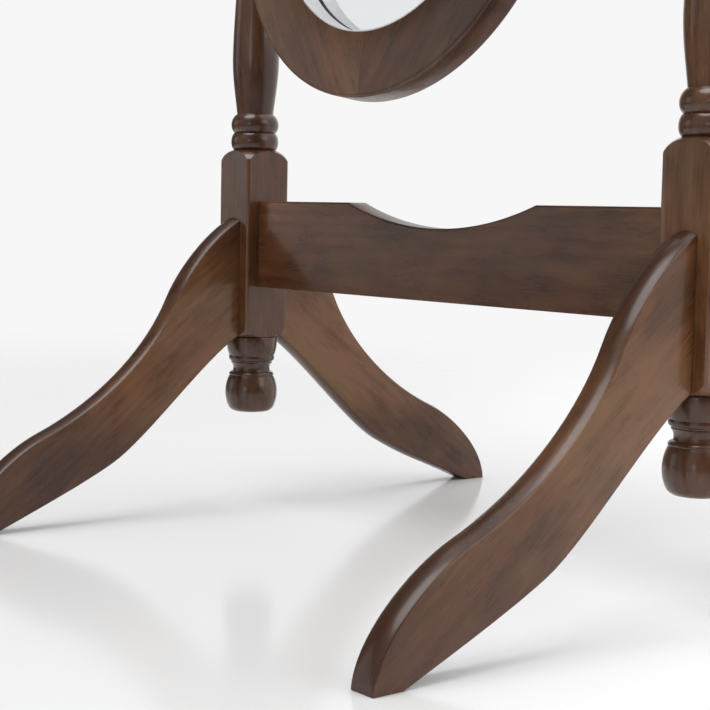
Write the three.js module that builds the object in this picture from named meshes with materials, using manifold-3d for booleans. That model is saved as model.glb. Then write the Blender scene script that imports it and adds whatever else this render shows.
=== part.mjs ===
// Oval cheval floor mirror: two turned posts on curved legs, joined by a rail, with an oval
// framed mirror that swings between them on two hand knobs.
// Millimetres, +Z up. X runs from the left post to the right post, Y to the back.
// The origin is on the floor, midway between the posts.
import * as THREE from "three";
import { mergeVertices } from "three/addons/utils/BufferGeometryUtils.js";
import Module from "manifold-3d";

const wasm = await Module();
wasm.setup();

// ---------- driving dimensions ----------
const gap = 0.3; // air between pieces that touch on the real object
const postSpacing = 464.7; // between the two posts' axes
const blockSide = 40; // square stock that the posts are turned from
const boardThickness = 18.5; // rail and legs are cut from the same board
const blockBottom = 139;
const pivotHeight = 910;
const postMiddle = 582; // the turned column is the same above and below this height
const footSpread = 513; // from the tip of a front foot to the tip of a rear foot

const railBottom = 180.2;
const railTop = 248.8;
const railCutHalfWidth = 98;
const railCutRadius = 285;

const ovalHalfWidth = 205;
const ovalHalfHeight = 597;
const ovalEndRadius = 158;
const frameWidth = 44; // face of the oval frame, from its outside to its sight edge
const frameThickness = 20;
const frameFront = -8; // the frame's face lies this far in front of the pivot axis
const lipThickness = 15; // wood in front of the rebate that holds the glass
const rebateWidth = 8;
const segmentJointHeight = 317; // where side and end segments meet, from the pivot
const restTilt = THREE.MathUtils.degToRad(7); // top of the mirror leans back at rest

// How finely curves are cut into flats.
const postFlats = 16;
const finialFlats = 16;
const ovalFlats = 10; // for each of the oval's four arcs, so that nested ovals stay parallel
const segmentFlats = 12;

const dowelRadius = 4;
const dowelHoleRadius = dowelRadius + gap;
const boltRadius = 3;
const studRadius = 4;
const studHoleRadius = 4.6;
const halfSpacing = postSpacing / 2;
const blockHalf = blockSide / 2;
const sides = [
  { name: "left", sign: -1 },
  { name: "right", sign: 1 },
];
const depths = [
  { name: "front", sign: -1 },
  { name: "rear", sign: 1 },
];

// ---------- materials ----------
const finish = {
  walnut: { color: 0x544035, roughness: 0.35, metalness: 0 },
  beech: { color: 0xc9a77a, roughness: 0.7, metalness: 0 },
  hardboard: { color: 0x6b4a2f, roughness: 0.85, metalness: 0 },
  mirrorGlass: { color: 0xe1e5e6, roughness: 0.03, metalness: 1 },
  blackFoam: { color: 0x2a2829, roughness: 0.9, metalness: 0 },
  paleEdge: { color: 0xdedfe3, roughness: 0.4, metalness: 0 },
  steel: { color: 0xa8a8aa, roughness: 0.35, metalness: 1 },
  brass: { color: 0xb08d4a, roughness: 0.35, metalness: 1 },
};

// ---------- small helpers ----------
const root = new THREE.Group();
const mirror = new THREE.Group();
mirror.position.set(0, 0, pivotHeight);
mirror.rotation.x = -restTilt;
root.add(mirror);

function addPiece(group, name, geometry, finishName) {
  const mesh = new THREE.Mesh(geometry, new THREE.MeshStandardMaterial(finish[finishName]));
  mesh.name = name;
  group.add(mesh);
}

function toSolid(geometry) {
  const bare = geometry.clone();
  bare.deleteAttribute("normal");
  bare.deleteAttribute("uv");
  const merged = mergeVertices(bare, 1e-4);
  const wasmMesh = new wasm.Mesh({
    numProp: 3,
    vertProperties: new Float32Array(merged.attributes.position.array),
    triVerts: new Uint32Array(merged.index.array),
  });
  return new wasm.Manifold(wasmMesh);
}

function toGeometry(solid) {
  const result = solid.getMesh();
  const geometry = new THREE.BufferGeometry();
  geometry.setAttribute("position", new THREE.BufferAttribute(result.vertProperties, 3));
  geometry.setIndex(new THREE.BufferAttribute(result.triVerts, 1));
  geometry.computeVertexNormals();
  return geometry;
}

function cutAway(geometry, cutters) {
  let solid = toSolid(geometry);
  for (const cutter of cutters) solid = solid.subtract(toSolid(cutter));
  return toGeometry(solid);
}

// A turned shape about the vertical axis, from a path of radius against height.
function turned(path, segments, divisions) {
  const geometry = new THREE.LatheGeometry(path.getPoints(divisions), segments);
  return geometry.rotateX(Math.PI / 2);
}

// A turned shape whose axis lies along X, pointing away from the mirror on the given side.
function turnedOutwards(path, sign, segments = 16, divisions = 3) {
  const geometry = new THREE.LatheGeometry(path.getPoints(divisions), segments);
  return geometry.rotateZ((-sign * Math.PI) / 2);
}

// A round rod between two points along one axis.
function rod(axis, radius, from, to, u, v, segments = 12) {
  const length = Math.abs(to - from);
  const middle = (from + to) / 2;
  const geometry = new THREE.CylinderGeometry(radius, radius, length, segments);
  if (axis === "x") return geometry.rotateZ(Math.PI / 2).translate(middle, u, v);
  if (axis === "y") return geometry.translate(u, middle, v);
  return geometry.rotateX(Math.PI / 2).translate(u, v, middle);
}

// A rod with a hole through it, lying along X.
function tubeAlongX(outer, inner, from, to) {
  const path = new THREE.Path();
  path.moveTo(inner, 0);
  path.lineTo(outer, 0);
  path.lineTo(outer, Math.abs(to - from));
  path.lineTo(inner, Math.abs(to - from));
  path.lineTo(inner, 0);
  const sign = Math.sign(to - from);
  return turnedOutwards(path, sign).translate(from, 0, 0);
}

// A board whose outline is drawn in X and Z, between two depths in Y.
function board(shape, frontY, backY, curveSegments = ovalFlats) {
  const options = { depth: backY - frontY, bevelEnabled: false, curveSegments };
  const geometry = new THREE.ExtrudeGeometry(shape, options);
  return geometry.rotateX(Math.PI / 2).translate(0, backY, 0);
}

// ---------- turned posts ----------
const shoulderRadius = 28.8; // just outside the square stock's corners
const neckRadius = 20.4; // where the round shoulder meets the finial
const shoulderHeight = 14.5;
const lowerShoulderTop = 289.5;

// Half of the column, from the lower block's shoulder up to the middle of the post.
function addLowerColumn(path) {
  path.quadraticCurveTo(27.8, 285.5, 18.2, lowerShoulderTop);
  path.lineTo(16.8, 290);
  path.bezierCurveTo(19.7, 291, 19.7, 302.3, 16.5, 303.8); // lower bead
  path.bezierCurveTo(19.9, 305.3, 20.2, 316.8, 14.6, 318.8); // upper bead
  path.bezierCurveTo(16.4, 335, 18.8, 347, 18.7, 364); // swelling of the vase
  path.bezierCurveTo(18.6, 400, 12.2, 460, 11.2, 560); // long taper to the waist
  path.quadraticCurveTo(12.6, 563, 12.4, 566);
  path.quadraticCurveTo(17.8, 574, 12.6, postMiddle); // lower half of the waist's double bead
}

// The points of the half column, turned over to make the upper half.
function mirroredUpwards(points) {
  return points.map((p) => new THREE.Vector2(p.x, 2 * postMiddle - p.y)).reverse();
}

function postProfile() {
  const bottom = new THREE.Path();
  bottom.moveTo(0, blockBottom);
  bottom.lineTo(neckRadius, blockBottom);
  bottom.quadraticCurveTo(28, blockBottom + 4, shoulderRadius, blockBottom + shoulderHeight);
  const column = new THREE.Path();
  column.moveTo(shoulderRadius, lowerShoulderTop - shoulderHeight);
  addLowerColumn(column);
  const half = column.getPoints(3);
  const upperHalf = mirroredUpwards(half).slice(1);
  const topOfPost = blockTop();
  const top = new THREE.Path();
  top.moveTo(shoulderRadius, topOfPost - shoulderHeight);
  top.quadraticCurveTo(28, topOfPost - 4, neckRadius, topOfPost);
  top.lineTo(0, topOfPost);
  return [...bottom.getPoints(3), ...half, ...upperHalf, ...top.getPoints(3)];
}

function blockTop() {
  const upperBlockStart = 2 * postMiddle - lowerShoulderTop;
  return 2 * pivotHeight - upperBlockStart;
}

const railDowelHeights = [railBottom + 12.8, railTop - 12.8];
const railBoltHeight = (railBottom + railTop) / 2;
const legDowelHeights = [160, 200];
const dowelHalfLength = 15;
const headPocketRadius = 7.3;
const headPocketDepth = 10;
const finialSpigotRadius = 6;
const finialSpigotLength = 16;

function makePost(side) {
  const profile = postProfile();
  const turning = new THREE.LatheGeometry(profile, postFlats).rotateX(Math.PI / 2);
  const height = blockTop() - blockBottom + 10;
  const blank = new THREE.BoxGeometry(blockSide, blockSide, height);
  blank.translate(0, 0, (blockTop() + blockBottom) / 2);
  const post = toSolid(turning).intersect(toSolid(blank));
  const geometry = toGeometry(post).translate(side.sign * halfSpacing, 0, 0);

  const postX = side.sign * halfSpacing;
  const outerX = side.sign * (halfSpacing + blockHalf);
  const innerX = side.sign * (halfSpacing - blockHalf);
  const pocketX = outerX - side.sign * headPocketDepth;
  const beyond = side.sign * 5;
  const spigotHole = finialSpigotRadius + gap;
  const cutters = [
    rod("x", studHoleRadius, innerX - beyond, outerX + beyond, 0, pivotHeight, 16),
    rod("x", boltRadius + gap, innerX - beyond, pocketX + side.sign, 0, railBoltHeight),
    rod("x", headPocketRadius, pocketX, outerX + beyond, 0, railBoltHeight, 16),
    rod("z", spigotHole, blockBottom - 5, blockBottom + finialSpigotLength + 1, postX, 0, 16),
    rod("z", spigotHole, blockTop() - finialSpigotLength - 1, blockTop() + 5, postX, 0, 16),
  ];
  for (const height of railDowelHeights) {
    const end = innerX + side.sign * (dowelHalfLength + 1);
    cutters.push(rod("x", dowelHoleRadius, innerX - beyond, end, 0, height));
  }
  for (const depth of depths) {
    for (const height of legDowelHeights) {
      const face = depth.sign * blockHalf;
      const end = face - depth.sign * (dowelHalfLength - 0.5);
      cutters.push(rod("y", dowelHoleRadius, face + depth.sign * 5, end, postX, height));
    }
  }
  return cutAway(geometry, cutters);
}

// ---------- turned finials ----------
// Both finials share one profile, drawn outwards from the post: a cup with a rolled lip, a thin
// groove, a neck, a small ridge and a bulb. The drop finial ends flat, the top finial in a dome.
function finialPath(domeHeight) {
  const path = new THREE.Path();
  path.moveTo(0, -finialSpigotLength);
  path.lineTo(finialSpigotRadius, -finialSpigotLength);
  path.lineTo(finialSpigotRadius, 0);
  path.lineTo(19.4, 0);
  path.lineTo(20.4, 0.9);
  path.quadraticCurveTo(20.8, 10.5, 18.3, 15.6); // cup
  path.quadraticCurveTo(18.9, 17.5, 18.2, 19.3); // rolled lip
  path.lineTo(17, 19.9);
  path.lineTo(16.6, 20.6); // bottom of the groove
  path.lineTo(16.9, 21.3);
  path.quadraticCurveTo(13.9, 25, 15.4, 28.4); // neck
  path.quadraticCurveTo(17.4, 28.9, 18.2, 30.4);
  path.quadraticCurveTo(18.5, 31.4, 17.8, 31.9); // ridge
  path.bezierCurveTo(20.6, 36.5, 23.4, 47.5, 18.6, 57.6); // bulb
  if (domeHeight > 0) {
    path.bezierCurveTo(15.2, 62.6, 9, 60.5 + domeHeight / 2, 5, 59.5 + domeHeight);
    path.quadraticCurveTo(3, 61.5 + domeHeight, 0, 61.5 + domeHeight);
  } else {
    path.quadraticCurveTo(17.4, 60.1, 14.5, 61.3);
    path.lineTo(0, 61.3);
  }
  return path;
}

function makeFinial(side, isTop) {
  const geometry = turned(finialPath(isTop ? 16 : 0), finialFlats, 3);
  if (!isTop) geometry.rotateX(Math.PI);
  const height = isTop ? blockTop() + gap : blockBottom - gap;
  return geometry.translate(side.sign * halfSpacing, 0, height);
}

// ---------- legs ----------
// Drawn for a rear leg, as distance behind the posts' centre plane against height.
function legShape() {
  const tip = footSpread / 2;
  const shape = new THREE.Shape();
  const butt = blockHalf + gap;
  shape.moveTo(butt, 232.5);
  shape.lineTo(butt, 140);
  shape.bezierCurveTo(52.2, 122.1, 104.3, 62.7, 135, 45.8);
  shape.bezierCurveTo(160.8, 31.7, 206.7, 12.5, 236, 0);
  shape.lineTo(tip, 0);
  shape.bezierCurveTo(tip - 1.4, 25.5, 221.4, 56.9, 190.7, 70);
  shape.bezierCurveTo(144.1, 89.9, 98, 127, 77.9, 170.1);
  shape.bezierCurveTo(67, 193.6, 40.9, 222.1, butt, 232.5);
  return shape;
}

function makeLeg(side, depth) {
  const options = { depth: boardThickness, bevelEnabled: false, curveSegments: 8 };
  const geometry = new THREE.ExtrudeGeometry(legShape(), options);
  geometry.rotateX(Math.PI / 2).rotateZ((depth.sign * Math.PI) / 2);
  const inwards = (depth.sign * boardThickness) / 2;
  geometry.translate(side.sign * halfSpacing - inwards, 0, 0);
  const cutters = legDowelHeights.map((height) => {
    const from = depth.sign * (blockHalf - 5);
    const to = depth.sign * (blockHalf + dowelHalfLength + 1.5);
    return rod("y", dowelHoleRadius, from, to, side.sign * halfSpacing, height);
  });
  return cutAway(geometry, cutters);
}

function makeLegDowel(side, depth, height) {
  const from = depth.sign * (blockHalf - dowelHalfLength + 1);
  const to = depth.sign * (blockHalf + dowelHalfLength + 1);
  return rod("y", dowelRadius, from, to, side.sign * halfSpacing, height, 12);
}

// ---------- rail ----------
const railEnd = halfSpacing - blockHalf - gap;
const nutInset = 30; // from the rail's end to the barrel nut
const nutRadius = 5;
const nutFront = -5;
const nutBack = 8;

function railShape() {
  const sweep = Math.asin(railCutHalfWidth / railCutRadius);
  const arcCentreHeight = railTop + railCutRadius * Math.cos(sweep);
  const shape = new THREE.Shape();
  shape.moveTo(-railEnd, railBottom);
  shape.lineTo(railEnd, railBottom);
  shape.lineTo(railEnd, railTop);
  shape.lineTo(railCutHalfWidth, railTop);
  const start = -Math.PI / 2 + sweep;
  const end = -Math.PI / 2 - sweep;
  shape.absarc(0, arcCentreHeight, railCutRadius, start, end, true);
  shape.lineTo(-railEnd, railTop);
  shape.closePath();
  return shape;
}

function makeRail() {
  const geometry = board(railShape(), -boardThickness / 2, boardThickness / 2, 16);
  const cutters = [];
  for (const side of sides) {
    const end = side.sign * railEnd;
    const nutX = side.sign * (railEnd - nutInset);
    const outside = end + side.sign * 5;
    cutters.push(rod("x", boltRadius + gap, outside, nutX - side.sign * 12, 0, railBoltHeight));
    const pocket = rod("y", nutRadius + gap, nutFront - 1, boardThickness, nutX, railBoltHeight, 16);
    cutters.push(pocket);
    for (const height of railDowelHeights) {
      const inside = end - side.sign * (dowelHalfLength + 1);
      cutters.push(rod("x", dowelHoleRadius, outside, inside, 0, height));
    }
  }
  return cutAway(geometry, cutters);
}

function makeRailDowel(side, height) {
  const joint = side.sign * (halfSpacing - blockHalf);
  return rod("x", dowelRadius, joint - dowelHalfLength, joint + dowelHalfLength, 0, height, 12);
}

function makeBarrelNut(side) {
  const nutX = side.sign * (railEnd - nutInset);
  const geometry = rod("y", nutRadius, nutFront, nutBack, nutX, railBoltHeight, 16);
  const thread = rod("x", boltRadius + gap, nutX - 10, nutX + 10, 0, railBoltHeight);
  return cutAway(geometry, [thread]);
}

// The rail bolt: a round socket head in the post's pocket, and a shank that reaches the nut.
function makeRailBolt(side) {
  const seat = halfSpacing + blockHalf - headPocketDepth + gap;
  const tip = railEnd - nutInset - 9;
  const path = new THREE.Path();
  path.moveTo(0, tip - seat);
  path.lineTo(boltRadius, tip - seat);
  path.lineTo(boltRadius, 0);
  path.lineTo(6, 0);
  path.lineTo(6, 3);
  path.lineTo(5.4, 3.8);
  path.lineTo(2.5, 3.8);
  path.lineTo(2.5, 1.5);
  path.lineTo(0, 1.5);
  const geometry = turnedOutwards(path, side.sign, 12, 2);
  return geometry.translate(side.sign * seat, 0, railBoltHeight);
}

// A turned wooden button that closes the bolt's pocket.
function makeBoltCover(side) {
  const face = halfSpacing + blockHalf;
  const path = new THREE.Path();
  path.moveTo(0, -5.2);
  path.lineTo(7, -5.2);
  path.lineTo(7, gap);
  path.lineTo(9.5, gap);
  path.lineTo(9.5, 1.2);
  path.quadraticCurveTo(7, 3.2, 0, 3.4);
  const geometry = turnedOutwards(path, side.sign);
  return geometry.translate(side.sign * face, 0, railBoltHeight);
}

// ---------- oval outline ----------
// A four-centred oval: two tight end arcs and two long flat side arcs that run into them.
const endCentreHeight = ovalHalfHeight - ovalEndRadius;
const sideRadius =
  (ovalHalfWidth ** 2 + endCentreHeight ** 2 - ovalEndRadius ** 2) /
  (2 * (ovalHalfWidth - ovalEndRadius));
const sideCentreX = sideRadius - ovalHalfWidth;
const arcJointAngle = Math.atan2(endCentreHeight, sideCentreX);
const segmentAngle = Math.asin(segmentJointHeight / sideRadius);

// The whole oval, drawn anticlockwise and moved inwards by the given distance.
function ovalShape(inset) {
  const end = ovalEndRadius - inset;
  const side = sideRadius - inset;
  const joint = arcJointAngle;
  const shape = new THREE.Shape();
  shape.absarc(-sideCentreX, 0, side, -joint, joint, false);
  shape.absarc(0, endCentreHeight, end, joint, Math.PI - joint, false);
  shape.absarc(sideCentreX, 0, side, Math.PI - joint, Math.PI + joint, false);
  shape.absarc(0, -endCentreHeight, end, Math.PI + joint, 2 * Math.PI - joint, false);
  return shape;
}

function ovalHoop(outerInset, innerInset, frontY, backY) {
  const shape = ovalShape(outerInset);
  shape.holes.push(ovalShape(innerInset));
  return board(shape, frontY, backY);
}

// ---------- oval frame in six glued segments ----------
// A side segment, drawn for the right side. Its ends are square to the curve.
function sideSegmentShape() {
  const angle = segmentAngle - gap / 2 / sideRadius;
  const shape = new THREE.Shape();
  shape.absarc(-sideCentreX, 0, sideRadius, -angle, angle, false);
  shape.absarc(-sideCentreX, 0, sideRadius - frameWidth, angle, -angle, true);
  shape.closePath();
  return shape;
}

// An end segment, drawn for the upper right: from the side joint up to the middle seam.
function endSegmentShape() {
  const start = segmentAngle + gap / 2 / sideRadius;
  const joint = arcJointAngle;
  const inner = ovalEndRadius - frameWidth;
  const outerSeam = Math.PI / 2 - gap / 2 / ovalEndRadius;
  const innerSeam = Math.PI / 2 - gap / 2 / inner;
  const shape = new THREE.Shape();
  shape.absarc(-sideCentreX, 0, sideRadius, start, joint, false);
  shape.absarc(0, endCentreHeight, ovalEndRadius, joint, outerSeam, false);
  shape.absarc(0, endCentreHeight, inner, innerSeam, joint, true);
  shape.absarc(-sideCentreX, 0, sideRadius - frameWidth, joint, start, true);
  shape.closePath();
  return shape;
}

const frameBack = frameFront + frameThickness;
const lipBack = frameFront + lipThickness;
const insertRadius = 6;
const insertLength = 17;
const screwInset = 30; // from the frame's outer edge to the backing screws
const screwRadius = 1.6;
const screwHoleRadius = screwRadius + gap;

// Ten backing screws: heights on the sides, and one near each end of both halves.
const screwPlaces = [-300, -100, 100, 300].flatMap((height) =>
  sides.map((side) => {
    const reach = Math.sqrt((sideRadius - screwInset) ** 2 - height ** 2) - sideCentreX;
    return { x: side.sign * reach, z: height };
  })
);
const endScrewRadius = ovalEndRadius - screwInset;
const endScrewLean = THREE.MathUtils.degToRad(20);
for (const end of [-1, 1]) {
  const x = end * endScrewRadius * Math.sin(endScrewLean);
  const z = end * (endCentreHeight + endScrewRadius * Math.cos(endScrewLean));
  screwPlaces.push({ x, z });
}

const rebateCutter = board(ovalShape(frameWidth - rebateWidth), lipBack, frameBack + 5);
const screwPilots = screwPlaces.map(({ x, z }) =>
  rod("y", screwHoleRadius, lipBack - 6, frameBack + 5, x, z, 8)
);

function makeSegment(shape, mirrorX, mirrorZ) {
  const flat = board(shape, frameFront, frameBack, segmentFlats);
  let solid = toSolid(flat);
  if (mirrorX) solid = solid.mirror([1, 0, 0]);
  if (mirrorZ) solid = solid.mirror([0, 0, 1]);
  const insertHole = insertRadius + gap;
  const cutters = [rebateCutter, ...screwPilots];
  for (const side of sides) {
    const from = side.sign * (ovalHalfWidth - insertLength - 1);
    const to = side.sign * (ovalHalfWidth + 5);
    cutters.push(rod("x", insertHole, from, to, 0, 0, 16));
  }
  for (const cutter of cutters) solid = solid.subtract(toSolid(cutter));
  return toGeometry(solid);
}

// ---------- glass and backing ----------
const linerThickness = 1;
const linerInset = frameWidth + gap;
const glassInset = frameWidth - rebateWidth + 1;
const gasketFront = lipBack + gap;
const gasketBack = gasketFront + 1.6;
const glassFront = gasketBack + gap;
const glassBack = frameBack;
const backingInset = 24;
const backingFront = frameBack + gap;
const backingBack = backingFront + 3;

function makeBacking() {
  const panel = board(ovalShape(backingInset), backingFront, backingBack);
  const holes = screwPlaces.map(({ x, z }) =>
    rod("y", screwHoleRadius, backingFront - 5, backingBack + 5, x, z, 8)
  );
  return cutAway(panel, holes);
}

function makeScrew({ x, z }) {
  const path = new THREE.Path();
  path.moveTo(0, -13);
  path.lineTo(screwRadius, -11);
  path.lineTo(screwRadius, 0);
  path.lineTo(3.4, 0);
  path.quadraticCurveTo(3, 2, 0, 2.1);
  const geometry = new THREE.LatheGeometry(path.getPoints(2), 8);
  return geometry.translate(x, backingBack + gap, z);
}

// ---------- pivots ----------
const knobFace = blockHalf + halfSpacing + gap;
const washerThickness = 1.5;
const knobStart = knobFace + washerThickness + gap;
const knobLength = 31;
const knobBoreDepth = 20;
const studBore = studRadius + gap;

function makeInsert(side) {
  const outer = side.sign * (ovalHalfWidth - gap);
  return tubeAlongX(insertRadius, studBore, outer - side.sign * insertLength, outer);
}

function makeSpacer(side) {
  const from = side.sign * (ovalHalfWidth + gap);
  const to = side.sign * (halfSpacing - blockHalf - gap);
  return tubeAlongX(13, studBore, from, to);
}

function makeStud(side) {
  const from = side.sign * (ovalHalfWidth - insertLength + 2);
  const to = side.sign * (knobStart + knobBoreDepth - 1);
  return rod("x", studRadius, from, to, 0, 0, 16);
}

function makeKnobWasher(side) {
  const from = side.sign * knobFace;
  return tubeAlongX(10, studBore, from, from + side.sign * washerThickness);
}

function makeKnob(side) {
  const path = new THREE.Path();
  path.moveTo(0, knobBoreDepth);
  path.lineTo(studBore, knobBoreDepth);
  path.lineTo(studBore, 0);
  path.lineTo(11.5, 0);
  path.lineTo(12, 1.2);
  path.quadraticCurveTo(8.4, 6, 10.6, 10); // waist for the fingertips
  path.bezierCurveTo(15, 12, 19.4, 14, 19.4, 19.5);
  path.bezierCurveTo(19.4, 26, 13, knobLength, 0, knobLength);
  return turnedOutwards(path, side.sign, 20).translate(side.sign * knobStart, 0, 0);
}

// ---------- assembly ----------
for (const side of sides) {
  addPiece(root, `${side.name}_post`, makePost(side), "walnut");
  addPiece(root, `${side.name}_drop_finial`, makeFinial(side, false), "walnut");
  addPiece(root, `${side.name}_top_finial`, makeFinial(side, true), "walnut");
  addPiece(root, `${side.name}_rail_bolt`, makeRailBolt(side), "steel");
  addPiece(root, `${side.name}_barrel_nut`, makeBarrelNut(side), "steel");
  addPiece(root, `${side.name}_bolt_cover`, makeBoltCover(side), "walnut");
  railDowelHeights.forEach((height, index) => {
    const place = index === 0 ? "lower" : "upper";
    addPiece(root, `${side.name}_rail_dowel_${place}`, makeRailDowel(side, height), "beech");
  });
  for (const depth of depths) {
    const legName = `${side.name}_${depth.name}_leg`;
    addPiece(root, legName, makeLeg(side, depth), "walnut");
    legDowelHeights.forEach((height, index) => {
      const place = index === 0 ? "lower" : "upper";
      addPiece(root, `${legName}_dowel_${place}`, makeLegDowel(side, depth, height), "beech");
    });
  }
}
addPiece(root, "rail", makeRail(), "walnut");

for (const side of sides) {
  const onLeft = side.sign < 0;
  const sidePiece = makeSegment(sideSegmentShape(), onLeft, false);
  addPiece(mirror, `frame_${side.name}_side`, sidePiece, "walnut");
  addPiece(mirror, `frame_top_${side.name}`, makeSegment(endSegmentShape(), onLeft, false), "walnut");
  const bottomPiece = makeSegment(endSegmentShape(), onLeft, true);
  addPiece(mirror, `frame_bottom_${side.name}`, bottomPiece, "walnut");
  addPiece(mirror, `${side.name}_pivot_insert`, makeInsert(side), "brass");
  addPiece(mirror, `${side.name}_pivot_spacer`, makeSpacer(side), "blackFoam");
  addPiece(mirror, `${side.name}_pivot_stud`, makeStud(side), "steel");
  addPiece(mirror, `${side.name}_knob_washer`, makeKnobWasher(side), "steel");
  addPiece(mirror, `${side.name}_knob`, makeKnob(side), "walnut");
}
const liner = ovalHoop(linerInset, linerInset + linerThickness, frameFront + gap, lipBack);
addPiece(mirror, "sight_edge_liner", liner, "paleEdge");
const gasket = ovalHoop(glassInset, linerInset + linerThickness, gasketFront, gasketBack);
addPiece(mirror, "glass_gasket", gasket, "blackFoam");
addPiece(mirror, "mirror_glass", board(ovalShape(glassInset), glassFront, glassBack), "mirrorGlass");
addPiece(mirror, "backing_panel", makeBacking(), "hardboard");
screwPlaces.forEach((place, index) => {
  addPiece(mirror, `backing_screw_${index + 1}`, makeScrew(place), "steel");
});

export default root;
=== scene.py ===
# %% [markdown]
# # A cheval floor mirror in stained walnut
# A cheval mirror is an oval looking glass that swings between two turned posts. Each post stands on two
# S-curved legs, and one rail ties the posts together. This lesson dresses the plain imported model: every
# wooden piece is made again with the soft edges and curves of the real one, and each material gets its own
# grain or sheen. All sizes below are in millimetres until a point is placed, because that is how a joiner
# reads a drawing.

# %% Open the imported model
import math

import bpy
from mathutils import Matrix, Vector


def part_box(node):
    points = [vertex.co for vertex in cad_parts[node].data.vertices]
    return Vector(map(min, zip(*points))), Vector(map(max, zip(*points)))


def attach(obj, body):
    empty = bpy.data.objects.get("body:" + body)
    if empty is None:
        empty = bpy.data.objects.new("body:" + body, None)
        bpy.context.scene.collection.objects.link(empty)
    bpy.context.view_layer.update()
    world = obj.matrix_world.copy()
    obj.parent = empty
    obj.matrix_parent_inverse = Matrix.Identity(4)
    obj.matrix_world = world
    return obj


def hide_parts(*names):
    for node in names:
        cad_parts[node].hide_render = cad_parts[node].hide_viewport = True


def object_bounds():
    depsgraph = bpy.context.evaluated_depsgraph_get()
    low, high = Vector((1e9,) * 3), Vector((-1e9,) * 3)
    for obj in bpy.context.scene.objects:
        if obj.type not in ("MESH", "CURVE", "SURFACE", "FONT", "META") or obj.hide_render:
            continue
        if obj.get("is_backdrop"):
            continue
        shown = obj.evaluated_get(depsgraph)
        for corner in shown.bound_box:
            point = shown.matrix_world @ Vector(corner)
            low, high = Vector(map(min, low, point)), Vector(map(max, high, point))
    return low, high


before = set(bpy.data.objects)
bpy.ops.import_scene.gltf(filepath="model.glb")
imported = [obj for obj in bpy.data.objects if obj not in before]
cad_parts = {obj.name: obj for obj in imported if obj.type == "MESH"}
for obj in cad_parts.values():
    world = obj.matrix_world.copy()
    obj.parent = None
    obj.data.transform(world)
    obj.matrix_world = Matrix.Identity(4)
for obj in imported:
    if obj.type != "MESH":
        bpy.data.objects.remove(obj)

MM = 0.001
cad_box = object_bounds()
print("box of the packed model:", [tuple(round(c, 4) for c in corner) for corner in cad_box])

# %% [markdown]
# ## Where things are
# The posts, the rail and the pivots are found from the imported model's own boxes, so that nothing drifts
# apart. The shapes themselves, such as the outline of a leg, are drawn again here after the CAD's, with
# softer curves.

# %% Main places
def middle(node):
    """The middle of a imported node's box."""
    low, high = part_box(node)
    return (low + high) / 2


POST_X = middle("right_post").x / MM
PIVOT_HEIGHT = middle("right_pivot_stud").z / MM
LEAN = math.radians(7)
BLOCK_SIDE = 40
BOARD = 18.5
PIVOT = Vector((0, 0, PIVOT_HEIGHT * MM))
print("posts at", round(POST_X, 2), "mm either side, pivots at", round(PIVOT_HEIGHT, 1), "mm")

# %% [markdown]
# ## Drawing a line
# Almost every piece begins as a pencil line: the half profile of a turning, the outline of a sawn board or
# the section of a moulding. It could be typed as a long list of points, but a maker thinks in straights and
# curves, so this small helper strings together straight, one-handle and two-handle curves.

# %% The outline helper
class Outline:
    """A drawn line of straights and curves, kept as a list of (across, up) points in millimetres."""

    def __init__(self, across, up):
        self.points = [(across, up)]

    def line(self, across, up):
        self.points.append((across, up))
        return self

    def bend(self, handle, end, steps=5):
        """A curve with one handle."""
        start = self.points[-1]
        for i in range(1, steps + 1):
            t = i / steps
            weights = ((1 - t) ** 2, 2 * t * (1 - t), t * t)
            self.points.append(blend_points(weights, (start, handle, end)))
        return self

    def sweep(self, handle_a, handle_b, end, steps=14):
        """A curve with two handles."""
        start = self.points[-1]
        for i in range(1, steps + 1):
            t = i / steps
            weights = ((1 - t) ** 3, 3 * t * (1 - t) ** 2, 3 * t * t * (1 - t), t**3)
            self.points.append(blend_points(weights, (start, handle_a, handle_b, end)))
        return self


def blend_points(weights, points):
    """The weighted middle of a few flat points."""
    return tuple(sum(w * p[axis] for w, p in zip(weights, points)) for axis in (0, 1))

# %% [markdown]
# ## From a line to a solid
# By hand you would add a plane, merge it to one point and extrude that point along the outline. The helper
# does the same clicks. A filled outline that is extruded gives a board, and a half profile that is spun
# gives a turning.

# %% Drawing and finishing helpers
def nothing_selected():
    """Leaves edit mode and lets go of every object, because an operator acts on all that is selected."""
    if bpy.context.object and bpy.context.object.mode == "EDIT":
        bpy.ops.object.mode_set(mode="OBJECT")
    bpy.ops.object.select_all(action="DESELECT")


def take(piece):
    """Makes one piece the selected and active one."""
    nothing_selected()
    piece.select_set(True)
    bpy.context.view_layer.objects.active = piece
    return piece


def draw_line(name, places):
    """Starts a piece as a chain of points in metres, and stays in edit mode."""
    nothing_selected()
    bpy.ops.mesh.primitive_plane_add(size=MM)
    piece = bpy.context.object
    piece.name = piece.data.name = name
    bpy.ops.object.mode_set(mode="EDIT")
    bpy.ops.mesh.select_mode(type="VERT")
    bpy.ops.mesh.select_all(action="SELECT")
    bpy.ops.mesh.merge(type="CENTER")
    bpy.ops.transform.translate(value=places[0])
    for here, there in zip(places, places[1:]):
        step = Vector(there) - Vector(here)
        bpy.ops.mesh.extrude_vertices_move(TRANSFORM_OT_translate={"value": step})
    return piece


def fill_and_extrude(step, rows=1):
    """Closes and fills the drawn line, then pulls the face out by the same step, once for each row."""
    bpy.ops.mesh.select_all(action="SELECT")
    bpy.ops.mesh.edge_face_add()
    for _ in range(rows):
        bpy.ops.mesh.extrude_region_move(TRANSFORM_OT_translate={"value": step})


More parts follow.
